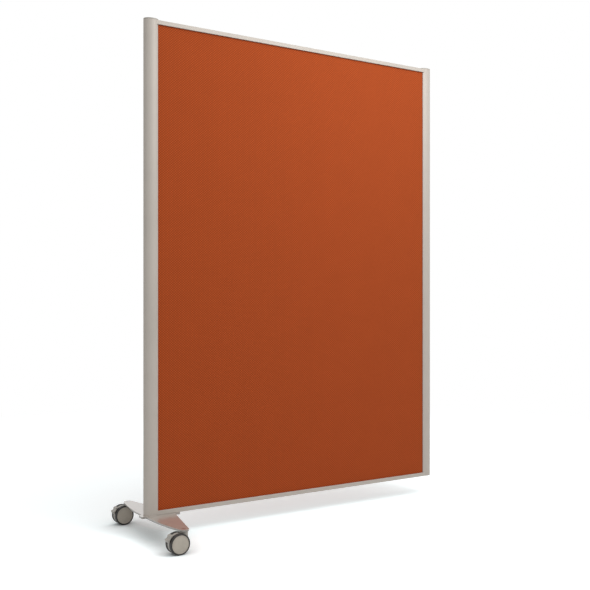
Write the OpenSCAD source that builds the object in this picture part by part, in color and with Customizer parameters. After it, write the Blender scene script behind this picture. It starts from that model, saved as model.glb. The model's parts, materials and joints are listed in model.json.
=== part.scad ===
/* [Frame] */
// Overall width over both posts
overall_w = 1219; // [900:1:1500]
// Overall height from the floor to the top of the post caps
overall_h = 1676; // [1200:1:2000]
// Thickness of the oval posts, front to back
frame_t = 38; // [37:0.5:44]
// Width of the oval posts, seen from the front
post_w = 51; // [50:0.5:60]
// Wall of the post extrusion
post_wall = 2; // [1.5:0.1:2.2]
// Depth of the panel groove in a post, from the tip of the oval
post_groove = 14.5; // [12:0.5:15]
// Thickness of the rails, front to back
rail_t = 35; // [33:0.5:36]
// Height of the top and bottom rail, seen from the front
rail_h = 13.5; // [13:0.1:20]
// Outer wall of a rail extrusion
rail_wall = 1.6; // [1.2:0.1:2]
// Side walls of a rail extrusion
rail_side = 2; // [1.5:0.1:2.2]
// Depth of the panel groove in a rail
rail_groove = 5; // [4:0.1:5.4]
// Web between a groove and the chamber behind it
groove_web = 2; // [1.8:0.1:2.4]
// Thickness of a post cap above the post
cap_t = 4; // [2:0.5:8]
// Depth of the plug that holds a cap in its post
cap_plug = 8; // [4:0.5:20]
// Small chamfer on the long edges of the rails and on the rims of the hubs
edge_chamfer = 0.6; // [0.2:0.1:1]

/* [Panel] */
// Thickness of the finished panel, fabric to fabric
panel_t = 23; // [21:0.5:23.5]
// Thickness of the fabric
fabric_t = 1; // [0.6:0.1:1.5]
// Width that the fabric turns over the edges of the panel
fabric_turn = 10; // [5:0.5:10]
// Thickness of each facing board
board_t = 3; // [2:0.5:4]
// Width of the battens around the core
batten_w = 40; // [20:1:80]
// Gap between the panel's edge and a groove's floor, at the sides and top
panel_gap = 1; // [0.5:0.1:1.5]
// Gap between the panel's faces and a groove's sides
groove_gap = 1.4; // [0.1:0.1:1.6]

/* [Corner keys] */
// Height of a key's leg in the post
key_h = 80; // [60:1:120]
// Thickness of a key's leg in the post, seen from the front
key_leg_t = 18; // [14:0.5:19]
// Width of a key's leg in the post, front to back
key_leg_w = 26; // [20:0.5:27]
// Length of a key's leg in the rail
key_rail_l = 70; // [66:1:100]
// Radius of a key screw
key_screw_r = 2.5; // [2:0.1:3]
// Length of a key screw
key_screw_l = 6; // [5:0.1:6.2]
// Height of the key screws in the posts above the frame's end
key_screw_z = 45; // [30:1:52]
// Distance of the key screws in the rails from the post
key_screw_x = 33; // [24:1:38]

/* [Foot] */
// Thickness of the foot plate
plate_t = 6; // [4:0.5:8]
// Distance between the two caster stems, front to back
stem_spacing = 428; // [360:1:500]
// Distance of the stems from the post's outer face
stem_x = 37; // [32:0.5:45]
// Radius of the rounded ends of the foot
foot_end_r = 16; // [14:0.5:22]
// Width of the foot's arms where they leave the post
foot_root_w = 96; // [80:1:102]
// Reach of the foot's inner tongue past the second bolt
tongue_past = 20; // [14:1:30]
// Width of the foot's inner tongue
tongue_w = 46; // [38:1:56]
// Reach of the foot's outer nose past the post
nose_reach = 12; // [6:0.5:20]
// Width of the foot's outer nose
nose_w = 30; // [20:1:36]
// Radius of a foot bolt
bolt_r = 4; // [3:0.1:4]
// Length of a foot bolt under its head
bolt_l = 12; // [11.5:0.1:12.2]
// Distance between the two foot bolts
bolt_spacing = 76; // [72:1:79]

/* [Caster] */
// Diameter of the wheels
wheel_d = 65; // [60:0.5:70]
// Width of one wheel
wheel_w = 13.5; // [12:0.5:16]
// Gap between the wheels' tops and the foot plate
plate_gap = 3; // [2.8:0.1:8]
// Thickness of the caster's body between the wheels
body_t = 12; // [12:0.5:16]
// Distance of the axle behind the stem
trail = 20; // [17:0.5:22]
// Radial depth of the tyre
tyre_t = 4.5; // [3:0.1:6]
// Radius of the tyre's rounded shoulders
tyre_round = 2.2; // [1:0.1:2.8]
// Radius of the axle
axle_r = 4; // [3:0.1:5]
// Radius of the swivel pin
pin_r = 4; // [3.5:0.1:4.2]
// Radius of the stem's thread in the foot plate
stem_r = 5; // [4:0.1:6]
// Radius of the collar between the stem's thread and the caster's body
collar_r = 9; // [7:0.5:12]
// Radius of the housing around the swivel pin
boss_r = 13; // [11:0.5:14]
// Width of the brake pedal
pedal_w = 24; // [16:1:38]
// Width of the pedal's neck, along the axle
neck_t = 6; // [4:0.5:7]
// Radius of the pin that the pedal turns on
pedal_pin_r = 2; // [1.5:0.1:2.5]

/* [Hidden] */
$fn = 64;
eps = 0.01;

// Colours
paint = [0.74, 0.71, 0.67];
orange_cloth = [0.66, 0.27, 0.13];
hardboard = [0.48, 0.33, 0.22];
softwood = [0.80, 0.66, 0.46];
kraft_paper = [0.70, 0.57, 0.40];
plain_steel = [0.60, 0.61, 0.62];
grey_nylon = [0.68, 0.66, 0.61];
black_rubber = [0.09, 0.09, 0.09];

// Clearances
slip = 0.2;          // between a key or plug and its chamber
seat_gap = 0.1;      // around a countersunk head
thread_gap = 0.05;   // around a thread in its hole
bolt_gap = 0.4;      // around a bolt in a clearance hole
fixed_gap = 0.02;    // around a pin that is held fast
run_gap = 0.05;      // around a pin that a bore turns on
cope_gap = 0.1;      // between a post and the rail's end shaped to it
turn_gap = 0.3;      // between faces that turn past each other
cheek_gap = 0.5;     // between a wheel and the caster's body

// Frame heights and the depths of its sections
caster_h = wheel_d + plate_gap;
frame_z = caster_h + plate_t;
rail_top = overall_h - cap_t;
post_l = rail_top - frame_z;
half_t = frame_t / 2;
groove_half = panel_t / 2 + groove_gap;
groove_x = post_w - post_groove;
web_x = groove_x - groove_web;
rail_half = rail_t / 2;

// Panel
panel_x = groove_x + panel_gap;
panel_w = overall_w - 2 * panel_x;
panel_z = frame_z + rail_h - rail_groove;
panel_h = rail_top - rail_h + rail_groove - panel_gap - panel_z;
core_t = panel_t - 2 * fabric_t - 2 * board_t;
glue_line = 0.1;

// Keys, their screws and the foot bolts
key_end = web_x - slip;
key_x = key_end - key_leg_t;
neck_x = key_end - 2.8;
neck_half = groove_half - slip;
rail_leg_x = post_w + slip;
rail_leg_half = rail_half - rail_side - slip;
key_reach = post_w + key_rail_l;
rail_screw_x = post_w + key_screw_x;
rail_leg_z = rail_wall + slip;
rail_leg_top = rail_h - rail_groove - groove_web - slip;
key_head_r = key_screw_r + 2;
key_head_h = groove_web - seat_gap;
tapped_depth = 20;
bolt_xs = [(key_x + key_end) / 2, (key_x + key_end) / 2 + bolt_spacing];
bolt_head_r = bolt_r + 2.5;
bolt_head_h = 3.5;
socket_r = 2.9;
socket_depth = 2;

// Wheels
wheel_r = wheel_d / 2;
wheel_y0 = body_t / 2 + cheek_gap;
wheel_y1 = wheel_y0 + wheel_w;
hub_r = wheel_r - tyre_t - run_gap;
hub_rim = 2;
hub_wall = 4;
hub_boss_r = axle_r + 5;
cover_recess = 3.4;
cover_t = 1.5;
cover_r = hub_r - hub_rim;
clip_t = 1;
clip_r = axle_r + 3;
clip_y = wheel_y1 - cover_recess + turn_gap;

// Caster body and swivel
axle_x = stem_x - trail;
stem_y = stem_spacing / 2;
body_r = wheel_r - 1;
body_cut_z = 9;
wheel_room = wheel_r + 1;
collar_t = 1.5;
boss_top = caster_h - collar_t - turn_gap;
boss_z = wheel_r + 12;
pin_z = wheel_r + 7.5;
ring_t = 1.2;
ring_z = boss_top - 4;
ring_r = pin_r + 1.5;
ring_seat_r = pin_r - 0.4;

// Brake pedal: a rocker outside the wheels, on a neck that reaches in to its pin
pedal_in = wheel_r + 2.4;
pedal_rim = 1.8;
pedal_a0 = 126;
pedal_a1 = 168;
pedal_steps = 24;
horn_a = 136;
horn_h = 2.6;
horn_w = 4.5;
press_a = 158;
press_h = 4.4;
press_w = 5;
pivot_a = 150;
pivot_r = wheel_r - 8.5;
eye_r = pedal_pin_r + 2.5;
neck_w = 5;
slot_w = 12;

// Arc of radius r about c from angle a0 to a1 in n steps
function arc(c, r, a0, a1, n) =
    [for (i = [0:n]) let (t = a0 + (a1 - a0) * i / n) c + r * [cos(t), sin(t)]];

// Oval outline of a post less an inset
oval_steps = 72;
function oval(inset) = [for (i = [0:oval_steps - 1]) let (t = 360 * i / oval_steps)
    [post_w / 2 + (post_w / 2 - inset) * cos(t), (half_t - inset) * sin(t)]];

// Quadratic curve from p to q, drawn towards m
function bend(p, m, q, n) =
    [for (i = [0:n]) let (t = i / n) p * (1 - t) * (1 - t) + m * 2 * t * (1 - t) + q * t * t];

function mirrored(points) = [for (i = [len(points) - 1:-1:0]) [points[i][0], -points[i][1]]];

// Outer radius of the pedal's rocker: a horn to release it and a longer lip to press
function pedal_out(t) = pedal_in + pedal_rim
    + horn_h * exp(-pow((t - horn_a) / horn_w, 2)) + press_h * exp(-pow((t - press_a) / press_w, 2));
pedal_angles = [for (i = [0:pedal_steps]) pedal_a0 + (pedal_a1 - pedal_a0) * i / pedal_steps];
pedal_points = concat(
    [for (t = pedal_angles) pedal_out(t) * [cos(t), sin(t)]],
    [for (i = [pedal_steps:-1:0]) pedal_in * [cos(pedal_angles[i]), sin(pedal_angles[i])]]);
pedal_reach = max([for (p = pedal_points) -p[0]]);

// The origin is on the floor, under the middle of the whole object
mid_x = (axle_x - pedal_reach + overall_w) / 2;
module centred() translate([-mid_x, 0, 0]) children();
module at_right() translate([overall_w, 0, 0]) mirror([1, 0, 0]) children();
module at_top() translate([0, 0, rail_top]) mirror([0, 0, 1]) children();
module at_bottom() translate([0, 0, frame_z]) children();

// ---- Frame ----

// Countersunk hole that opens at z = 0 and runs down
module screw_hole() {
    translate([0, 0, -key_screw_l - 1]) cylinder(h = key_screw_l + 2, r = key_screw_r + seat_gap);
    translate([0, 0, -key_head_h - seat_gap])
        cylinder(h = key_head_h + seat_gap + eps, r1 = key_screw_r + seat_gap, r2 = key_head_r + seat_gap);
}

// Part of the post's chamber with x below a limit, less a gap all round
module oval_left_of(x, gap = 0) {
    intersection() {
        polygon(oval(post_wall + gap));
        translate([0, -half_t]) square([x, frame_t]);
    }
}

module post_section() {
    difference() {
        polygon(oval(0));
        oval_left_of(web_x);
        translate([groove_x, -groove_half]) square([post_groove + 1, 2 * groove_half]);
    }
}

// Notch for a key's neck and the hole for its screw, at a post's lower end
module post_end_cuts() {
    translate([web_x - 1, -neck_half - slip / 2, -eps])
        cube([post_w - web_x + 2, 2 * neck_half + slip, rail_leg_top + slip]);
    translate([groove_x, 0, key_screw_z]) rotate([0, 90, 0]) screw_hole();
}

module post() {
    difference() {
        linear_extrude(post_l) post_section();
        post_end_cuts();
        translate([0, 0, post_l]) mirror([0, 0, 1]) post_end_cuts();
    }
}
module left_post() color(paint) centred() at_bottom() post();
module right_post() color(paint) centred() at_right() at_bottom() post();

module rail_section() {
    c = edge_chamfer;
    difference() {
        polygon([[c - rail_half, 0], [rail_half - c, 0], [rail_half, c], [rail_half, rail_h - c],
                 [rail_half - c, rail_h], [c - rail_half, rail_h],
                 [-rail_half, rail_h - c], [-rail_half, c]]);
        translate([-groove_half, rail_h - rail_groove]) square([2 * groove_half, rail_groove + 1]);
        translate([rail_side - rail_half, rail_wall])
            square([rail_t - 2 * rail_side, rail_h - rail_groove - groove_web - rail_wall]);
    }
}

// Room for a post at the end of a rail
module cope() translate([0, 0, -1]) linear_extrude(rail_h + 2) polygon(oval(-cope_gap));

// Rail with its outer face on z = 0, and ends shaped to the posts. A bolted rail is tapped through, together
// with the keys inside it, where a foot can go.
module rail(bolted) {
    difference() {
        translate([post_w / 2, 0, 0]) rotate([90, 0, 90]) linear_extrude(overall_w - post_w) rail_section();
        cope();
        at_right() cope();
        for (x = [rail_screw_x, overall_w - rail_screw_x])
            translate([x, 0, rail_h - rail_groove]) screw_hole();
        if (bolted) for (x = [bolt_xs[1], overall_w - bolt_xs[1]])
            translate([x, 0, -eps]) cylinder(h = rail_wall + 2 * eps, r = bolt_r + thread_gap);
    }
}
module bottom_rail() color(paint) centred() at_bottom() rail(true);
module top_rail() color(paint) centred() at_top() rail(false);

// Cap with the post's outline, and a plug beside the key inside the post
module post_cap() {
    linear_extrude(cap_t) polygon(oval(0));
    translate([0, 0, -cap_plug]) linear_extrude(cap_plug + eps) oval_left_of(key_x - slip, slip);
}
module left_post_cap() color(paint) centred() translate([0, 0, rail_top]) post_cap();
module right_post_cap() color(paint) centred() at_right() translate([0, 0, rail_top]) post_cap();

// ---- Corner keys ----

// Cast angle with one leg up the post, and a neck that joins it to one along the rail
module corner_key(tapped) {
    difference() {
        union() {
            translate([key_x, -key_leg_w / 2, 0]) cube([key_end - key_x, key_leg_w, key_h]);
            translate([neck_x, -neck_half, rail_leg_z])
                cube([rail_leg_x + eps - neck_x, 2 * neck_half, rail_leg_top - rail_leg_z]);
            translate([rail_leg_x, -rail_leg_half, rail_leg_z])
                cube([key_reach - rail_leg_x, 2 * rail_leg_half, rail_leg_top - rail_leg_z]);
        }
        translate([key_end - key_screw_l, 0, key_screw_z]) rotate([0, 90, 0])
            cylinder(h = key_screw_l + eps, r = key_screw_r + thread_gap);
        translate([rail_screw_x, 0, rail_leg_z - eps])
            cylinder(h = rail_leg_top - rail_leg_z + 2 * eps, r = key_screw_r + thread_gap);
        if (tapped) for (x = bolt_xs)
            translate([x, 0, -eps]) cylinder(h = tapped_depth, r = bolt_r + thread_gap);
    }
}
module bottom_left_key() color(plain_steel) centred() at_bottom() corner_key(true);
module bottom_right_key() color(plain_steel) centred() at_right() at_bottom() corner_key(true);
module top_left_key() color(plain_steel) centred() at_top() corner_key(false);
module top_right_key() color(plain_steel) centred() at_right() at_top() corner_key(false);

// Countersunk screw with its head's top on z = 0
module key_screw() {
    difference() {
        union() {
            translate([0, 0, -key_screw_l]) cylinder(h = key_screw_l, r = key_screw_r);
            translate([0, 0, -key_head_h]) cylinder(h = key_head_h, r1 = key_screw_r, r2 = key_head_r);
        }
        translate([0, 0, -key_head_h + 0.6]) cylinder(h = key_head_h, r = 1.5, $fn = 6);
    }
}
module corner_screws() {
    translate([groove_x, 0, key_screw_z]) rotate([0, 90, 0]) key_screw();
    translate([rail_screw_x, 0, rail_h - rail_groove]) key_screw();
}
module key_screws() color(plain_steel) centred() {
    at_bottom() corner_screws();
    at_top() corner_screws();
    at_right() at_bottom() corner_screws();
    at_right() at_top() corner_screws();
}

// ---- Panel ----

// Box of the panel's width and height less a margin, between two depths
module panel_slab(margin, y0, y1)
    translate([panel_x + margin, y0, panel_z + margin])
        cube([panel_w - 2 * margin, y1 - y0, panel_h - 2 * margin]);

module core_battens() color(softwood) centred() {
    inner_w = panel_w - 2 * (fabric_t + batten_w + glue_line);
    for (x = [panel_x + fabric_t, panel_x + panel_w - fabric_t - batten_w])
        translate([x, -core_t / 2, panel_z + fabric_t]) cube([batten_w, core_t, panel_h - 2 * fabric_t]);
    for (z = [panel_z + fabric_t, panel_z + panel_h - fabric_t - batten_w])
        translate([panel_x + fabric_t + batten_w + glue_line, -core_t / 2, z])
            cube([inner_w, core_t, batten_w]);
}
module core_infill() color(kraft_paper) centred()
    panel_slab(fabric_t + batten_w + glue_line, -core_t / 2, core_t / 2);
module front_board() color(hardboard) centred()
    panel_slab(fabric_t, -core_t / 2 - board_t, -core_t / 2);
module back_board() color(hardboard) centred()
    panel_slab(fabric_t, core_t / 2, core_t / 2 + board_t);

// Fabric over the front face, turned over the panel's four edges
module turned_fabric() {
    difference() {
        panel_slab(0, -panel_t / 2, fabric_turn - panel_t / 2);
        panel_slab(fabric_t, fabric_t - panel_t / 2, panel_t);
    }
}
module front_fabric() color(orange_cloth) centred() turned_fabric();
module back_fabric() color(orange_cloth) centred() mirror([0, 1, 0]) turned_fabric();

// ---- Foot ----

// Half of the foot's outline, from the inner tongue round the arm to the outer nose
tongue_end = bolt_xs[1] + tongue_past;
tongue_corner = 8;
nose_corner = 5;
foot_half = concat(
    arc([tongue_end - tongue_corner, tongue_w / 2 - tongue_corner], tongue_corner, 0, 90, 10),
    bend([foot_root_w + 8, tongue_w / 2], [foot_root_w, tongue_w / 2 + 2],
         [foot_root_w - 3, tongue_w / 2 + 27], 10),
    arc([stem_x, stem_y], foot_end_r, 13, 169, 26),
    bend([stem_x - foot_end_r * cos(11), stem_y + foot_end_r * sin(11)], [0, stem_y - 84],
         [0, nose_w / 2 + 25], 16),
    bend([0, nose_w / 2 + 8], [0, nose_w / 2], [nose_corner - nose_reach, nose_w / 2], 8),
    arc([nose_corner - nose_reach, nose_w / 2 - nose_corner], nose_corner, 90, 180, 8));

module foot_plate() color(paint) centred() {
    difference() {
        translate([0, 0, caster_h]) linear_extrude(plate_t) polygon(concat(foot_half, mirrored(foot_half)));
        for (x = bolt_xs)
            translate([x, 0, caster_h - eps]) cylinder(h = plate_t + 2 * eps, r = bolt_r + bolt_gap);
        for (y = [-stem_y, stem_y])
            translate([stem_x, y, caster_h - eps]) cylinder(h = plate_t + 2 * eps, r = stem_r + thread_gap);
    }
}

module foot_bolt() {
    difference() {
        union() {
            cylinder(h = bolt_l, r = bolt_r);
            translate([0, 0, -bolt_head_h]) cylinder(h = bolt_head_h, r = bolt_head_r);
        }
        translate([0, 0, -bolt_head_h - eps]) cylinder(h = socket_depth, r = socket_r, $fn = 6);
    }
}
module foot_bolts() color(plain_steel) centred()
    for (x = bolt_xs) translate([x, 0, caster_h]) foot_bolt();

// ---- Casters: front is at side -1, back is at side +1 ----

module at_stem(side) translate([stem_x, side * stem_y, 0]) children();
module at_axle(side) at_stem(side) translate([-trail, 0, wheel_r]) children();
// Turns an extrusion's +Z to the outward side given by face
module facing(face) rotate([face > 0 ? -90 : 90, 0, 0]) children();
module across(width) rotate([90, 0, 0]) translate([0, 0, -width / 2]) children();
module at_pivot() translate([pivot_r * cos(pivot_a), 0, pivot_r * sin(pivot_a)]) children();

module stem(side) color(plain_steel) centred() at_stem(side) {
    difference() {
        union() {
            translate([0, 0, pin_z]) cylinder(h = caster_h - pin_z, r = pin_r);
            translate([0, 0, caster_h - collar_t]) cylinder(h = collar_t, r = collar_r);
            translate([0, 0, caster_h - eps]) cylinder(h = plate_t + eps, r = stem_r);
        }
        translate([0, 0, ring_z - run_gap]) difference() {
            cylinder(h = ring_t + 2 * run_gap, r = pin_r + 1);
            translate([0, 0, -1]) cylinder(h = ring_t + 2, r = ring_seat_r);
        }
    }
}

// Spring ring in the stem's groove, open on one side
module stem_ring(side) color(plain_steel) centred() at_stem(side) translate([0, 0, ring_z]) {
    difference() {
        cylinder(h = ring_t, r = ring_r);
        translate([0, 0, -1]) cylinder(h = ring_t + 2, r = ring_seat_r + run_gap);
        translate([0, -1.2, -1]) cube([ring_r + 1, 2.4, ring_t + 2]);
    }
}

module caster_body(side) color(grey_nylon) centred() {
    difference() {
        union() {
            at_axle(side) across(body_t) cylinder(h = body_t, r = body_r);
            at_stem(side) translate([0, 0, boss_z]) cylinder(h = boss_top - boss_z, r = boss_r);
        }
        at_axle(side) for (face = [-1, 1])
            facing(face) translate([0, 0, body_t / 2]) cylinder(h = boss_r, r = wheel_room);
        at_stem(side) translate([-wheel_d, -body_t, -1]) cube([2 * wheel_d, 2 * body_t, body_cut_z + 1]);
        at_stem(side) translate([0, 0, pin_z - turn_gap])
            cylinder(h = boss_top - pin_z + 1, r = pin_r + run_gap);
        at_stem(side) translate([0, 0, ring_z - turn_gap])
            cylinder(h = ring_t + 2 * turn_gap, r = ring_r + turn_gap);
        at_axle(side) across(body_t + 2) cylinder(h = body_t + 2, r = axle_r + fixed_gap);
        at_axle(side) rotate([0, -pivot_a, 0])
            translate([pivot_r, -neck_t / 2 - turn_gap, -slot_w / 2])
                cube([body_r, neck_t + 2 * turn_gap, slot_w]);
        at_axle(side) at_pivot() across(neck_t + 2 * turn_gap)
            cylinder(h = neck_t + 2 * turn_gap, r = slot_w / 2);
        at_axle(side) at_pivot() across(body_t + 2) cylinder(h = body_t + 2, r = pedal_pin_r + fixed_gap);
    }
}

module axle(side) color(plain_steel) centred()
    at_axle(side) across(2 * (clip_y + clip_t)) cylinder(h = 2 * (clip_y + clip_t), r = axle_r);

// Push-on washers that keep the wheels on the axle
module axle_clips(side) color(plain_steel) centred()
    at_axle(side) for (face = [-1, 1]) facing(face) translate([0, 0, clip_y]) difference() {
        cylinder(h = clip_t, r = clip_r);
        translate([0, 0, -1]) cylinder(h = clip_t + 2, r = axle_r + fixed_gap);
    }

module brake_pedal(side) color(grey_nylon) centred() at_axle(side) {
    difference() {
        union() {
            across(pedal_w) linear_extrude(pedal_w) polygon(pedal_points);
            rotate([0, -pivot_a, 0]) translate([pivot_r, -neck_t / 2, -neck_w / 2])
                cube([pedal_in + pedal_rim / 2 - pivot_r, neck_t, neck_w]);
            at_pivot() across(neck_t) cylinder(h = neck_t, r = eye_r);
        }
        at_pivot() across(neck_t + 2) cylinder(h = neck_t + 2, r = pedal_pin_r + run_gap);
    }
}
module pedal_pin(side) color(plain_steel) centred()
    at_axle(side) at_pivot() across(body_t) cylinder(h = body_t, r = pedal_pin_r);

// face is +1 for a wheel on the +Y side of its caster, -1 for one on the -Y side
module tyre(side, face) color(black_rubber) centred() at_axle(side) facing(face)
    rotate_extrude() polygon(concat(
        [[wheel_r - tyre_t, wheel_y0]],
        arc([wheel_r - tyre_round, wheel_y0 + tyre_round], tyre_round, -90, 0, 8),
        arc([wheel_r - tyre_round, wheel_y1 - tyre_round], tyre_round, 0, 90, 8),
        [[wheel_r - tyre_t, wheel_y1]]));

module hub(side, face) color(grey_nylon) centred() at_axle(side) facing(face) {
    bore_r = axle_r + run_gap;
    floor_y = wheel_y1 - cover_recess;
    rotate_extrude() polygon([
        [bore_r, wheel_y0], [hub_boss_r, wheel_y0], [hub_boss_r, floor_y - hub_wall],
        [hub_r - hub_wall, floor_y - hub_wall], [hub_r - hub_wall, wheel_y0], [hub_r, wheel_y0],
        [hub_r, wheel_y1 - edge_chamfer], [hub_r - edge_chamfer, wheel_y1], [cover_r, wheel_y1],
        [cover_r, floor_y], [bore_r, floor_y]]);
}

// Flat cap just below the hub's rim
module cover(side, face) color(grey_nylon) centred() at_axle(side) facing(face)
    translate([0, 0, wheel_y1 - turn_gap - cover_t]) cylinder(h = cover_t, r = cover_r - run_gap);

module front_stem() stem(-1);
module front_stem_ring() stem_ring(-1);
module front_caster_body() caster_body(-1);
module front_axle() axle(-1);
module front_axle_clips() axle_clips(-1);
module front_brake_pedal() brake_pedal(-1);
module front_pedal_pin() pedal_pin(-1);
module front_outer_tyre() tyre(-1, -1);
module front_outer_hub() hub(-1, -1);
module front_outer_cover() cover(-1, -1);
module front_inner_tyre() tyre(-1, 1);
module front_inner_hub() hub(-1, 1);
module front_inner_cover() cover(-1, 1);
module back_stem() stem(1);
module back_stem_ring() stem_ring(1);
module back_caster_body() caster_body(1);
module back_axle() axle(1);
module back_axle_clips() axle_clips(1);
module back_brake_pedal() brake_pedal(1);
module back_pedal_pin() pedal_pin(1);
module back_outer_tyre() tyre(1, 1);
module back_outer_hub() hub(1, 1);
module back_outer_cover() cover(1, 1);
module back_inner_tyre() tyre(1, -1);
module back_inner_hub() hub(1, -1);
module back_inner_cover() cover(1, -1);

left_post();
right_post();
top_rail();
bottom_rail();
left_post_cap();
right_post_cap();
bottom_left_key();
bottom_right_key();
top_left_key();
top_right_key();
key_screws();
core_battens();
core_infill();
front_board();
back_board();
front_fabric();
back_fabric();
foot_plate();
foot_bolts();
front_stem();
front_stem_ring();
front_caster_body();
front_axle();
front_axle_clips();
front_brake_pedal();
front_pedal_pin();
front_outer_tyre();
front_outer_hub();
front_outer_cover();
front_inner_tyre();
front_inner_hub();
front_inner_cover();
back_stem();
back_stem_ring();
back_caster_body();
back_axle();
back_axle_clips();
back_brake_pedal();
back_pedal_pin();
back_outer_tyre();
back_outer_hub();
back_outer_cover();
back_inner_tyre();
back_inner_hub();
back_inner_cover();
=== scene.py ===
import json
import math

import bmesh
import bpy
import numpy as np
from bpy.props import FloatProperty, FloatVectorProperty, PointerProperty
from bpy.types import Operator, Panel, PropertyGroup
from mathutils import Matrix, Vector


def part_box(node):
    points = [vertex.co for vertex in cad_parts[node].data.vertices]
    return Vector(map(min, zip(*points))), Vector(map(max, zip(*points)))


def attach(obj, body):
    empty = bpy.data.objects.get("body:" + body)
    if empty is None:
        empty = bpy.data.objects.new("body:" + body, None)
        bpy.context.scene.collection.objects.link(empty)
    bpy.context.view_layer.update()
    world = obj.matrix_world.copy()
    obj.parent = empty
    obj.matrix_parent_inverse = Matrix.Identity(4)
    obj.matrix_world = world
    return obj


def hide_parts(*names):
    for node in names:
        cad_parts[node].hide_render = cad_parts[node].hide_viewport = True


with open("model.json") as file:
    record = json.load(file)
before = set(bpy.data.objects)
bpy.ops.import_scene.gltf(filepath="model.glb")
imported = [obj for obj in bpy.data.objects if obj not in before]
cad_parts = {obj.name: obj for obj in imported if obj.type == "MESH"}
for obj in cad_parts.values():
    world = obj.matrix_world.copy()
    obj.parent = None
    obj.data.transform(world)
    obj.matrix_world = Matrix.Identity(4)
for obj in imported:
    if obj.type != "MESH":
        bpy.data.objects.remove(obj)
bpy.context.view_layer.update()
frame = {"nodes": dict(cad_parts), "record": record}

bl_info = {
    "name": "Rolling partition",
    "version": (1, 0, 0),
    "blender": (4, 5, 0),
    "location": "3D Viewport > Sidebar > Partition",
    "description": "Cloth, coating, wheels and studio of a framed office partition",
    "category": "Object",
}

MM = 0.001
CLOTH_THICK = 0.9 * MM
COVER_EDGE = 0.4 * MM
FLOOR_HALF = 14.0
SOFT_LIGHT = (0.20, -0.61, 0.77)    # towards the strongest of the soft light
SIDES = (("front", -1), ("back", 1))
WHEELS = ("outer", "inner")


def linear(code):
    """sRGB colour, written as hex, in linear light."""
    c = np.array([int(code[i:i + 2], 16) for i in (1, 3, 5)]) / 255
    return tuple(np.where(c <= 0.04045, c / 12.92, ((c + 0.055) / 1.055) ** 2.4))


def colour(name, description, code):
    """Colour setting with its default written as sRGB hex."""
    return FloatVectorProperty(name=name, description=description, default=linear(code), subtype="COLOR",
                               size=3, min=0, max=1)


def length(name, description, millimetres):
    """Length setting with its default written in millimetres."""
    return FloatProperty(name=name, description=description, default=millimetres * MM, min=0, unit="LENGTH",
                         precision=5)


class PartitionSizes(PropertyGroup):
    """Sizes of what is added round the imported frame."""
    cloth_bend: length("Cloth bend", "Outer radius of the cloth where it turns over the panel's edge", 3.0)
    chequer_x: length("Chequer width", "Repeat of the weave's chequer across the panel, two blocks wide", 9.6)
    chequer_z: length("Chequer height", "Repeat of the weave's chequer up the panel, two blocks high", 8.0)
    thread: length("Thread", "Spacing of the threads inside a block of the weave", 1.0)
    coat_peel: length("Coat peel", "Width of one dimple in the sprayed coat", 1.8)
    coat_flake: length("Coat flake", "Width of one light or dark fleck in the coat", 0.5)
    mould_grain: length("Mould grain", "Width of one grain in the moulded plastic's skin", 0.6)
    sawn_edge: length("Sawn edge", "Rounding of the coated edges of the posts and rails", 0.3)
    cap_edge: length("Cap edge", "Rounding of the caps' moulded edges", 1.2)
    plate_edge: length("Plate edge", "Rounding of the foot plate's edges under its coat", 0.8)
    caster_edge: length("Caster edge", "Rounding of the edges of the casters' mouldings", 0.5)
    cover_dome: length("Cover dome", "Rise of a wheel cover from its edge to its middle", 0.9)


class PartitionColours(PropertyGroup):
    """Colours of the finishes."""
    coat: colour("Coat", "Satin powder coat of the posts and rails", "#AFA8A0")
    foot: colour("Foot", "Gloss powder coat of the foot", "#B4ADA5")
    cap: colour("Caps", "Moulded caps on the posts", "#9C968E")
    warp: colour("Warp", "Upright threads of the cloth", "#B24E23")
    weft: colour("Weft", "Cross threads of the cloth", "#893B19")
    disc: colour("Wheel discs", "Hubs and covers of the wheels", "#ADA69A")
    nylon: colour("Caster nylon", "Bodies and pedals of the casters", "#9C9890")
    tyre: colour("Tyres", "Soft rims of the wheels", "#24211F")
    steel: colour("Steel", "Zinc-plated steel of pins, axles and bolts", "#B4B6B8")


def add(tree, kind, inputs=None, **settings):
    """Adds one node, makes its settings, and links or sets its inputs."""
    node = tree.nodes.new(kind)
    for key, value in settings.items():
        setattr(node, key, value)
    for key, value in (inputs or {}).items():
        if isinstance(value, bpy.types.NodeSocket):
            tree.links.new(value, node.inputs[key])
        else:
            node.inputs[key].default_value = value
    return node


def rgba(c, share=1.0):
    """A colour setting as a socket's four values, darkened or lightened by share."""
    return tuple(min(1.0, v * share) for v in c) + (1.0,)


def start_material(name):
    """Empty node tree and the output of its Object coordinates."""
    material = bpy.data.materials.new(name)
    material.use_nodes = True
    material.node_tree.nodes.clear()
    place = add(material.node_tree, "ShaderNodeTexCoord").outputs["Object"]
    return material, material.node_tree, place


def end_material(material, tree, shader):
    """Joins the shader to the material's output."""
    add(tree, "ShaderNodeOutputMaterial", {"Surface": shader.outputs[0]})
    return material


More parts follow.
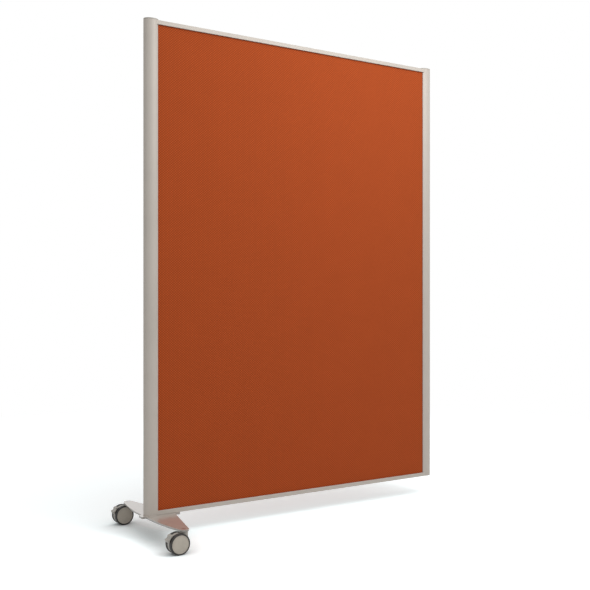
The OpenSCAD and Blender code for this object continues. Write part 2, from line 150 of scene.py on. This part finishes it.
def powder_coat(name, c, sizes, flake, roughness, lacquer, painted_side_shade):
    """Powder coat: baked polyester with fine aluminium flake. It reads as a smooth satin skin with a faint
    orange peel, and with flecks that only show from close by. The share of flake makes it metallic, and a
    share of clear lacquer on top gives the sharper reflections of a gloss coat. On upright faces the colour
    falls to the given share: painted shade that darkens a plate's cut edge and other upright faces."""
    material, tree, place = start_material(name)
    fleck = add(tree, "ShaderNodeTexNoise", {"Vector": place, "Scale": 1 / sizes.coat_flake, "Detail": 1.0})
    mottle = add(tree, "ShaderNodeTexNoise", {"Vector": place, "Scale": 1 / (120 * MM), "Detail": 2.0})
    sum_ = add(tree, "ShaderNodeMath", {0: fleck.outputs["Fac"], 1: mottle.outputs["Fac"]}, operation="ADD")
    tone = add(tree, "ShaderNodeValToRGB", {"Fac": sum_.outputs[0]})
    tone.color_ramp.elements[0].position = 0.6
    tone.color_ramp.elements[0].color = rgba(c, 0.93)
    tone.color_ramp.elements[1].position = 1.0
    tone.color_ramp.elements[1].color = rgba(c, 1.05)
    # Painted shade: the colour is darkened on upright faces, down to the given share where a face stands
    # straight up.
    normal = add(tree, "ShaderNodeSeparateXYZ", {0: add(tree, "ShaderNodeTexCoord").outputs["Normal"]})
    level = add(tree, "ShaderNodeMath", {0: normal.outputs["Z"]}, operation="ABSOLUTE")
    share = add(tree, "ShaderNodeMapRange", {"Value": level.outputs[0], "From Min": 0.2, "From Max": 0.8,
                                             "To Min": painted_side_shade})
    side_shaded_tone = add(tree, "ShaderNodeVectorMath", {0: tone.outputs["Color"], "Scale": share.outputs[0]},
                operation="SCALE")
    peel = add(tree, "ShaderNodeTexNoise", {"Vector": place, "Scale": 1 / sizes.coat_peel, "Detail": 1.0})
    bump = add(tree, "ShaderNodeBump", {"Height": peel.outputs["Fac"], "Strength": 0.06,
                                        "Distance": 0.3 * MM})
    return end_material(material, tree, add(tree, "ShaderNodeBsdfPrincipled", {
        "Base Color": side_shaded_tone.outputs[0], "Metallic": flake, "Roughness": roughness, "IOR": 1.5,
        "Specular IOR Level": 0.15, "Coat Weight": lacquer, "Coat Roughness": 0.18,
        "Normal": bump.outputs["Normal"]}))


def moulded_plastic(name, c, sizes, roughness):
    """Injection-moulded plastic: a spark-eroded matt skin, with slow cloudy shading where the melt flowed."""
    material, tree, place = start_material(name)
    grain = add(tree, "ShaderNodeTexNoise", {"Vector": place, "Scale": 1 / sizes.mould_grain, "Detail": 2.0})
    flow = add(tree, "ShaderNodeTexNoise", {"Vector": place, "Scale": 1 / (22 * MM), "Distortion": 0.8})
    tone = add(tree, "ShaderNodeValToRGB", {"Fac": flow.outputs["Fac"]})
    tone.color_ramp.elements[0].position = 0.3
    tone.color_ramp.elements[0].color = rgba(c, 0.94)
    tone.color_ramp.elements[1].position = 0.7
    tone.color_ramp.elements[1].color = rgba(c, 1.04)
    bump = add(tree, "ShaderNodeBump", {"Height": grain.outputs["Fac"], "Strength": 0.10,
                                        "Distance": 0.1 * MM})
    return end_material(material, tree, add(tree, "ShaderNodeBsdfPrincipled", {
        "Base Color": tone.outputs["Color"], "Roughness": roughness, "IOR": 1.46,
        "Normal": bump.outputs["Normal"]}))


def tyre_rubber(name, c):
    """Thermoplastic rubber: nearly black, dull, dusted a little paler where it has rolled."""
    material, tree, place = start_material(name)
    dust = add(tree, "ShaderNodeTexNoise", {"Vector": place, "Scale": 1 / (6 * MM), "Detail": 4.0})
    tone = add(tree, "ShaderNodeValToRGB", {"Fac": dust.outputs["Fac"]})
    tone.color_ramp.elements[0].position = 0.35
    tone.color_ramp.elements[0].color = rgba(c)
    tone.color_ramp.elements[1].position = 0.75
    tone.color_ramp.elements[1].color = rgba(c, 1.9)
    grain = add(tree, "ShaderNodeTexNoise", {"Vector": place, "Scale": 1 / (0.4 * MM)})
    bump = add(tree, "ShaderNodeBump", {"Height": grain.outputs["Fac"], "Strength": 0.15,
                                        "Distance": 0.1 * MM})
    return end_material(material, tree, add(tree, "ShaderNodeBsdfPrincipled", {
        "Base Color": tone.outputs["Color"], "Roughness": 0.62, "IOR": 1.52,
        "Normal": bump.outputs["Normal"]}))


def zinc_plate(name, c):
    """Zinc-plated steel: bright and slightly cloudy, with fine turning marks."""
    material, tree, place = start_material(name)
    cloud = add(tree, "ShaderNodeTexNoise", {"Vector": place, "Scale": 1 / (4 * MM), "Detail": 3.0})
    tone = add(tree, "ShaderNodeValToRGB", {"Fac": cloud.outputs["Fac"]})
    tone.color_ramp.elements[0].color = rgba(c, 0.8)
    tone.color_ramp.elements[1].color = rgba(c, 1.1)
    marks = add(tree, "ShaderNodeTexNoise", {"Vector": place, "Scale": 1 / (0.5 * MM)})
    bump = add(tree, "ShaderNodeBump", {"Height": marks.outputs["Fac"], "Strength": 0.08,
                                        "Distance": 0.05 * MM})
    return end_material(material, tree, add(tree, "ShaderNodeBsdfPrincipled", {
        "Base Color": tone.outputs["Color"], "Metallic": 1.0, "Roughness": 0.34,
        "Normal": bump.outputs["Normal"]}))


def weave(tree, place, sizes):
    """Hopsack relief: sine threads run up where the chequer is positive and across where it is negative.
    Gives the relief's height, and which of the two lies on top."""
    axis = add(tree, "ShaderNodeSeparateXYZ", {0: place})
    waves = {}
    for key, socket, spacing in (("block_x", "X", sizes.chequer_x), ("block_z", "Z", sizes.chequer_z),
                                 ("warp", "X", sizes.thread), ("weft", "Z", sizes.thread)):
        turns = add(tree, "ShaderNodeMath", {0: axis.outputs[socket], 1: 2 * math.pi / spacing},
                    operation="MULTIPLY")
        waves[key] = add(tree, "ShaderNodeMath", {0: turns.outputs[0]}, operation="SINE").outputs[0]
    chequer = add(tree, "ShaderNodeMath", {0: waves["block_x"], 1: waves["block_z"]}, operation="MULTIPLY")
    over = add(tree, "ShaderNodeMapRange", {"Value": chequer.outputs[0], "From Min": -0.35, "From Max": 0.35},
               interpolation_type="SMOOTHSTEP")
    threads = add(tree, "ShaderNodeMix", {"Factor": over.outputs[0], "A": waves["weft"], "B": waves["warp"]})
    crown = add(tree, "ShaderNodeMath", {0: chequer.outputs[0]}, operation="ABSOLUTE")
    height = add(tree, "ShaderNodeMath", {0: threads.outputs[0], 1: 0.25, 2: crown.outputs[0]},
                 operation="MULTIPLY_ADD")
    return height.outputs[0], over.outputs[0]


def hopsack_cloth(name, colours, sizes):
    """Hopsack-woven polyester: blocks of upright and cross threads lie on top in turn, like a chequerboard,
    so from afar the cloth shows a fine dotted grid. The blocks are drawn about twice as large as real ones,
    which are too fine for the picture."""
    material, tree, place = start_material(name)
    height, over = weave(tree, place, sizes)
    # Painted shade: the colour darkens where the thread relief is low and lightens on its crowns; the noise
    # below adds random tone.
    shade = add(tree, "ShaderNodeMapRange", {"Value": height, "From Min": -0.25, "From Max": 1.25,
                                             "To Min": 0.78, "To Max": 1.10}).outputs[0]
    for size, spread in ((1.3 * MM, 0.06), (90 * MM, 0.015)):
        cloud = add(tree, "ShaderNodeTexNoise", {"Vector": place, "Scale": 1 / size, "Detail": 2.0})
        level = add(tree, "ShaderNodeMapRange", {"Value": cloud.outputs["Fac"], "From Min": 0.3,
                                                 "From Max": 0.7, "To Min": 1 - spread, "To Max": 1 + spread})
        shade = add(tree, "ShaderNodeMath", {0: shade, 1: level.outputs[0]}, operation="MULTIPLY").outputs[0]
    blocks = add(tree, "ShaderNodeMix", {"Factor": over, "A": rgba(colours.weft), "B": rgba(colours.warp)},
                 data_type="RGBA")
    tone = add(tree, "ShaderNodeVectorMath", {0: blocks.outputs[2], "Scale": shade}, operation="SCALE")
    bump = add(tree, "ShaderNodeBump", {"Height": height, "Strength": 0.5, "Distance": 0.25 * MM})
    return end_material(material, tree, add(tree, "ShaderNodeBsdfPrincipled", {
        "Base Color": tone.outputs[0], "Roughness": 0.9, "IOR": 1.5, "Specular IOR Level": 0.08,
        "Sheen Weight": 0.10, "Sheen Roughness": 0.5, "Sheen Tint": (1.0, 0.60, 0.40, 1.0),
        "Normal": bump.outputs["Normal"]}))


def softwood(name):
    """Planed pine: pale, with straight darker growth lines along each batten."""
    material, tree, place = start_material(name)
    grain = add(tree, "ShaderNodeTexWave", {"Vector": place, "Scale": 1 / (60 * MM), "Distortion": 6.0,
                                            "Detail": 3.0, "Detail Scale": 2.0})
    tone = add(tree, "ShaderNodeValToRGB", {"Fac": grain.outputs["Fac"]})
    tone.color_ramp.elements[0].color = rgba(linear("#D9BC8A"))
    tone.color_ramp.elements[1].color = rgba(linear("#B98F58"))
    bump = add(tree, "ShaderNodeBump", {"Height": grain.outputs["Fac"], "Strength": 0.1,
                                        "Distance": 0.1 * MM})
    return end_material(material, tree, add(tree, "ShaderNodeBsdfPrincipled", {
        "Base Color": tone.outputs["Color"], "Roughness": 0.6, "IOR": 1.5, "Normal": bump.outputs["Normal"]}))


def pressed_fibre(name, dark, light, fibre):
    """Pressed fibre sheet, such as hardboard or kraft paper: short fibres lie every way in the skin."""
    material, tree, place = start_material(name)
    felt = add(tree, "ShaderNodeTexNoise", {"Vector": place, "Scale": 1 / fibre, "Detail": 5.0,
                                            "Roughness": 0.7})
    tone = add(tree, "ShaderNodeValToRGB", {"Fac": felt.outputs["Fac"]})
    tone.color_ramp.elements[0].position = 0.3
    tone.color_ramp.elements[0].color = rgba(linear(dark))
    tone.color_ramp.elements[1].position = 0.7
    tone.color_ramp.elements[1].color = rgba(linear(light))
    bump = add(tree, "ShaderNodeBump", {"Height": felt.outputs["Fac"], "Strength": 0.2, "Distance": 0.1 * MM})
    return end_material(material, tree, add(tree, "ShaderNodeBsdfPrincipled", {
        "Base Color": tone.outputs["Color"], "Roughness": 0.75, "IOR": 1.5,
        "Normal": bump.outputs["Normal"]}))


def finish_nodes(finishes):
    """Gives every node of the frame its finish, by the record's material slots."""
    for material in frame["record"]["materials"]:
        old = bpy.data.materials[material["slot"]]
        for node in frame["nodes"].values():
            for slot in node.material_slots:
                if slot.material == old:
                    slot.material = finishes[material["slot"]]


class PARTITION_OT_finishes(Operator):
    """Makes the finishes and gives them to the nodes of the frame"""
    bl_idname = "partition.finishes"
    bl_label = "Finishes"

    def execute(self, context):
        sizes, colours = context.scene.partition_sizes, context.scene.partition_colours
        finish_nodes({
            "frame_aluminium": powder_coat("powder-coated aluminium", colours.coat, sizes, flake=0.12,
                                           roughness=0.5, lacquer=0.0, painted_side_shade=1.0),
            # The foot's upright faces get painted shade at half their colour.
            "foot_steel": powder_coat("powder-coated steel", colours.foot, sizes, flake=0.30,
                                      roughness=0.30, lacquer=1.0, painted_side_shade=0.5),
            "cap_plastic": moulded_plastic("moulded ABS", colours.cap, sizes, 0.45),
            "plain_steel": zinc_plate("zinc-plated steel", colours.steel),
            "panel_fabric": hopsack_cloth("hopsack polyester", colours, sizes),
            "hardboard": pressed_fibre("hardboard", "#5B3D27", "#8A623F", 1.5 * MM),
            "softwood": softwood("planed softwood"),
            "honeycomb_card": pressed_fibre("kraft honeycomb", "#A5824F", "#C39D68", 2.5 * MM),
            "caster_nylon": moulded_plastic("moulded nylon", colours.nylon, sizes, 0.42),
            "wheel_nylon": moulded_plastic("moulded nylon discs", colours.disc, sizes, 0.38),
            "tyre_rubber": tyre_rubber("thermoplastic rubber", colours.tyre),
        })
        return {"FINISHED"}


def finish_piece(name, mesh, body, material):
    """Smooth object of a mesh, which rides on a body of the frame."""
    mesh.materials.clear()
    mesh.materials.append(material)
    mesh.shade_smooth()
    piece = bpy.data.objects.new(name, mesh)
    bpy.context.scene.collection.objects.link(piece)
    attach(piece, body)
    return piece


def round_edges(piece, width):
    """Bevel that rounds the sharp edges of a piece and leaves its curved faces alone. The normals are
    weighted by area, so the large faces stay flat in the light."""
    bevel = piece.modifiers.new("edges", "BEVEL")
    bevel.width = width
    bevel.segments = 3
    bevel.limit_method = "ANGLE"
    bevel.angle_limit = math.radians(35)
    piece.modifiers.new("normals", "WEIGHTED_NORMAL").keep_sharp = True


def rounded_copy(node, width):
    """Stands for a node with the same shape, its triangles joined into whole faces and its edges rounded."""
    source = frame["nodes"][node]
    shape = bmesh.new()
    shape.from_mesh(source.data)
    bmesh.ops.remove_doubles(shape, verts=shape.verts, dist=0.001 * MM)
    bmesh.ops.dissolve_limit(shape, verts=shape.verts, edges=shape.edges, angle_limit=math.radians(0.5))
    mesh = bpy.data.meshes.new(f"{node}_rounded")
    shape.to_mesh(mesh)
    shape.free()
    record = frame["record"]
    body = next(name for name, nodes in record["behaviour"]["bodies"].items() if node in nodes)
    piece = finish_piece(mesh.name, mesh, body, source.material_slots[0].material)
    round_edges(piece, width)
    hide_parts(node)


class PARTITION_OT_frame(Operator):
    """Rounds the edges of the posts, rails, caps and foot plate under their coat"""
    bl_idname = "partition.frame"
    bl_label = "Frame"

    def execute(self, context):
        sizes = context.scene.partition_sizes
        for node in ("left_post", "right_post", "top_rail", "bottom_rail"):
            rounded_copy(node, sizes.sawn_edge)
        for node in ("left_post_cap", "right_post_cap"):
            rounded_copy(node, sizes.cap_edge)
        rounded_copy("foot_plate", sizes.plate_edge)
        return {"FINISHED"}


def turned_surface(radii, depths, steps):
    """Points and faces of a surface of revolution about Y: a grid whose two parameters are the place along
    the profile and the angle round the axis. The profile's first and last points lie on the axis, and each
    becomes one point with a fan of triangles."""
    angle = np.linspace(0, 2 * math.pi, steps, endpoint=False)
    r, a = np.meshgrid(radii[1:-1], angle, indexing="ij")
    ring = np.stack([r * np.cos(a), np.repeat(depths[1:-1, None], steps, 1), r * np.sin(a)], axis=-1)
    points = np.concatenate([ring.reshape(-1, 3), [[0, depths[0], 0], [0, depths[-1], 0]]])
    ids = np.arange(r.size).reshape(r.shape)
    turned = np.roll(ids, -1, axis=1)
    quads = np.stack([ids[:-1], turned[:-1], turned[1:], ids[1:]], axis=-1).reshape(-1, 4)
    first = np.stack([np.full(steps, r.size), turned[0], ids[0]], axis=-1)
    last = np.stack([np.full(steps, r.size + 1), ids[-1], turned[-1]], axis=-1)
    return points, quads.tolist() + first.tolist() + last.tolist()


def dome_profile(radius, thickness, rise, edge):
    """Radii and heights of a cover's section, from the middle of its face round to the middle of its back: a
    parabola, a quarter circle at the edge, and a flat back."""
    r = np.linspace(0, radius - edge, 14)
    angle = np.linspace(0, math.pi / 2, 7)[1:]
    face = thickness - rise * (r / radius) ** 2
    top = face[-1]
    radii = np.concatenate([r, radius - edge + edge * np.sin(angle), [radius, 0]])
    heights = np.concatenate([face, top - edge + edge * np.cos(angle), [0, 0]])
    return radii, heights


def make_cover(node, body, face, sizes):
    """Domed cover in the place of a flat one. It keeps the flat one's radius and back, and its middle is as
    high as the hub's rim."""
    low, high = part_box(node)
    centre, radius = (low + high) / 2, (high.x - low.x) / 2
    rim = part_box(node.replace("cover", "hub"))[face > 0]
    back = low.y if face > 0 else high.y
    radii, heights = dome_profile(radius, abs(rim.y - back), sizes.cover_dome, COVER_EDGE)
    points, faces = turned_surface(radii, heights, 96)
    points = points * (1, face, 1) + (centre.x, back, centre.z)
    mesh = bpy.data.meshes.new(f"{node}_domed")
    mesh.from_pydata(points.tolist(), [], faces)
    shape = bmesh.new()
    shape.from_mesh(mesh)
    bmesh.ops.recalc_face_normals(shape, faces=shape.faces)
    shape.to_mesh(mesh)
    shape.free()
    piece = finish_piece(mesh.name, mesh, body, bpy.data.materials["moulded nylon discs"])
    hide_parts(node)


class PARTITION_OT_casters(Operator):
    """Rounds the mouldings of the casters and domes the covers of their wheels"""
    bl_idname = "partition.casters"
    bl_label = "Casters"

    def execute(self, context):
        sizes = context.scene.partition_sizes
        for side_name, side in SIDES:
            rounded_copy(f"{side_name}_caster_body", sizes.caster_edge)
            rounded_copy(f"{side_name}_brake_pedal", sizes.caster_edge)
            for wheel in WHEELS:
                name = f"{side_name}_{wheel}"
                rounded_copy(f"{name}_tyre", sizes.sawn_edge)
                rounded_copy(f"{name}_hub", sizes.caster_edge)
                make_cover(f"{name}_cover", f"{name}_wheel", side if wheel == "outer" else -side, sizes)
        return {"FINISHED"}


def turned_path(half, bend, turn, steps, flat_steps):
    """Place across the panel and depth behind its face, from one turned edge of the cloth to the other. The
    path is a straight run, then a quarter circle of radius bend, then a straight run back to depth turn."""
    angle = np.linspace(0, math.pi / 2, steps + 1)
    across = np.concatenate([half - bend + bend * np.sin(angle), [half]])
    depth = np.concatenate([bend - bend * np.cos(angle), [turn]])
    flat = np.linspace(bend - half, half - bend, flat_steps + 1)[1:-1]
    return (np.concatenate([-across[::-1], flat, across]),
            np.concatenate([depth[::-1], 0 * flat, depth]))


def cloth_surface(low, high, face_y, side, sizes):
    """Points and faces of the cloth: a grid whose two parameters run across and up the panel. A point's place
    is the turned path's place in each direction, and its depth is the larger of the two paths' depths. The
    four corners, where both paths have turned back, are cut out."""
    turn = high.y - low.y
    steps, wide_steps, tall_steps = 4, 46, 64
    x, dx = turned_path((high.x - low.x) / 2, sizes.cloth_bend, turn, steps, wide_steps)
    z, dz = turned_path((high.z - low.z) / 2, sizes.cloth_bend, turn, steps, tall_steps)
    xx, zz = np.meshgrid(x + (low.x + high.x) / 2, z + (low.z + high.z) / 2, indexing="ij")
    depth = np.maximum(*np.meshgrid(dx, dz, indexing="ij"))
    points = np.stack([xx, face_y - side * depth, zz], axis=-1).reshape(-1, 3)
    i, j = np.meshgrid(np.arange(len(x) - 1), np.arange(len(z) - 1), indexing="ij")
    edge_x = np.maximum(dx[:-1], dx[1:]) > sizes.cloth_bend
    edge_z = np.maximum(dz[:-1], dz[1:]) > sizes.cloth_bend
    kept = ~(edge_x[:, None] & edge_z[None, :])
    a = (i * len(z) + j)[kept]
    quads = np.stack([a, a + len(z), a + len(z) + 1, a + 1], axis=-1)
    return points, quads if side < 0 else quads[:, ::-1]


class PARTITION_OT_cloth(Operator):
    """Stretches the woven cloth over both faces of the panel"""
    bl_idname = "partition.cloth"
    bl_label = "Cloth"

    def execute(self, context):
        sizes = context.scene.partition_sizes
        for side_name, side in SIDES:
            node = f"{side_name}_fabric"
            low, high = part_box(node)
            face_y = low.y if side < 0 else high.y
            points, quads = cloth_surface(low, high, face_y, side, sizes)
            mesh = bpy.data.meshes.new(f"{side_name}_cloth")
            mesh.from_pydata(points.tolist(), [], quads.tolist())
            cloth = finish_piece(mesh.name, mesh, "panel",
                                 bpy.data.materials["hopsack polyester"])
            solid = cloth.modifiers.new("thickness", "SOLIDIFY")
            solid.thickness = CLOTH_THICK
            solid.offset = -1
            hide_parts(node)
        return {"FINISHED"}


def background_rays(tree):
    """Whether a ray sees the white background: 1 for the camera, mirrors and glass, 0 for soft light."""
    path = add(tree, "ShaderNodeLightPath")
    seen = path.outputs["Is Camera Ray"]
    for kind in ("Is Glossy Ray", "Is Transmission Ray"):
        seen = add(tree, "ShaderNodeMath", {0: seen, 1: path.outputs[kind]}, operation="MAXIMUM").outputs[0]
    return seen


def stage_floor():
    """Seamless white floor. The camera sees it bright white with the object's shadow on it; other rays see a
    pale grey one, so that it doesn't light the object from below. Painted shade from an ambient-occlusion
    node darkens its colour where parts stand close above it, so the shadow under the foot and casters is
    darker."""
    points = np.array([[-1, -1, 0], [1, -1, 0], [1, 1, 0], [-1, 1, 0]]) * FLOOR_HALF
    mesh = bpy.data.meshes.new("floor")
    mesh.from_pydata(points.tolist(), [], [[0, 1, 2, 3]])
    floor = bpy.data.objects.new("floor", mesh)
    bpy.context.scene.collection.objects.link(floor)
    material, tree, place = start_material("seamless paper")
    seen = background_rays(tree)
    tone = add(tree, "ShaderNodeMix", {"Factor": seen, "A": (0.55, 0.55, 0.55, 1.0),
                                       "B": (1.22, 1.29, 1.30, 1.0)}, data_type="RGBA")
    # Painted shade: ambient occlusion darkens the floor's colour close under the object's parts.
    painted_contact_shade = add(tree, "ShaderNodeAmbientOcclusion", {"Color": tone.outputs[2], "Distance": 120 * MM},
                  samples=16)
    tone_with_painted_shade = add(tree, "ShaderNodeMix", {"Factor": 0.55, "A": tone.outputs[2], "B": painted_contact_shade.outputs["Color"]},
               data_type="RGBA")
    paper = add(tree, "ShaderNodeBsdfDiffuse", {"Color": tone_with_painted_shade.outputs[2]})
    glow = add(tree, "ShaderNodeEmission", {"Color": (1.0, 1.0, 1.0, 1.0), "Strength": 1.0})
    distance = add(tree, "ShaderNodeVectorMath", {0: place}, operation="LENGTH")
    far = add(tree, "ShaderNodeMapRange", {"Value": distance.outputs["Value"], "From Min": 1.6,
                                           "From Max": 3.2}, interpolation_type="SMOOTHSTEP")
    share = add(tree, "ShaderNodeMath", {0: far.outputs[0], 1: seen}, operation="MULTIPLY")
    mesh.materials.append(end_material(material, tree, add(tree, "ShaderNodeMixShader", {
        0: share.outputs[0], 1: paper.outputs[0], 2: glow.outputs[0]})))


def stage_world(low, high):
    """Soft studio light from every side, strongest from above the front and weakest from behind. The camera
    and mirrors see it as plain white."""
    world = bpy.data.worlds.new("studio")
    world.use_nodes = True
    tree = world.node_tree
    tree.nodes.clear()
    side = add(tree, "ShaderNodeVectorMath", {0: add(tree, "ShaderNodeTexCoord").outputs["Generated"],
                                              1: SOFT_LIGHT}, operation="DOT_PRODUCT")
    ambient = add(tree, "ShaderNodeMapRange", {"Value": side.outputs["Value"], "From Min": 0.0,
                                               "To Min": low, "To Max": high})
    level = add(tree, "ShaderNodeMix", {"Factor": background_rays(tree), "A": ambient.outputs[0], "B": 1.0})
    sky = add(tree, "ShaderNodeBackground", {"Color": (1.0, 1.0, 1.0, 1.0), "Strength": level.outputs[0]})
    add(tree, "ShaderNodeOutputWorld", {"Surface": sky.outputs[0]})
    bpy.context.scene.world = world


def area_lamp(name, place, target, size, watts):
    """Square soft box at a place, turned to its target."""
    data = bpy.data.lights.new(name, "AREA")
    data.size = size
    data.energy = watts
    lamp = bpy.data.objects.new(name, data)
    bpy.context.scene.collection.objects.link(lamp)
    lamp.location = place
    lamp.rotation_euler = (Vector(target) - Vector(place)).to_track_quat("-Z", "Y").to_euler()


def stage_camera():
    """Level camera at the photograph's place, measured from the left post's outer face, and turned to the
    photograph's heading."""
    data = bpy.data.cameras.new("camera")
    data.lens = 54.59
    data.sensor_width = 36.0
    camera = bpy.data.objects.new("camera", data)
    bpy.context.scene.collection.objects.link(camera)
    camera.location = (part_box("left_post")[0].x - 1.17707, -2.67105, 0.78426)
    camera.rotation_euler = (math.radians(90), 0, math.radians(-33.38))
    bpy.context.scene.camera = camera


class PARTITION_OT_stage(Operator):
    """Sets up the floor, the soft studio light and the camera"""
    bl_idname = "partition.stage"
    bl_label = "Stage"

    def execute(self, context):
        stage_floor()
        stage_world(0.68, 1.10)
        area_lamp("key", (0.4, -1.2, 2.05), (0.2, 0.0, 1.3), 1.2, 17)
        stage_camera()
        context.scene.view_settings.view_transform = "Standard"
        return {"FINISHED"}


class PARTITION_PT_build(Panel):
    """Lists the steps that build the partition"""
    bl_label = "Rolling partition"
    bl_space_type = "VIEW_3D"
    bl_region_type = "UI"
    bl_category = "Partition"

    def draw(self, context):
        for step in STEPS:
            self.layout.operator(step.bl_idname)
        for group in (context.scene.partition_sizes, context.scene.partition_colours):
            for name in group.__annotations__:
                self.layout.prop(group, name)


STEPS = (PARTITION_OT_stage, PARTITION_OT_finishes, PARTITION_OT_cloth, PARTITION_OT_frame,
         PARTITION_OT_casters)
CLASSES = (PartitionSizes, PartitionColours, *STEPS, PARTITION_PT_build)


def register():
    for item in CLASSES:
        bpy.utils.register_class(item)
    bpy.types.Scene.partition_sizes = PointerProperty(type=PartitionSizes)
    bpy.types.Scene.partition_colours = PointerProperty(type=PartitionColours)


def unregister():
    del bpy.types.Scene.partition_colours
    del bpy.types.Scene.partition_sizes
    for item in reversed(CLASSES):
        bpy.utils.unregister_class(item)


def main():
    """Builds everything round the frame."""
    register()
    for step in STEPS:
        group, name = step.bl_idname.split(".")
        getattr(getattr(bpy.ops, group), name)()


if __name__ == "__main__":
    main()
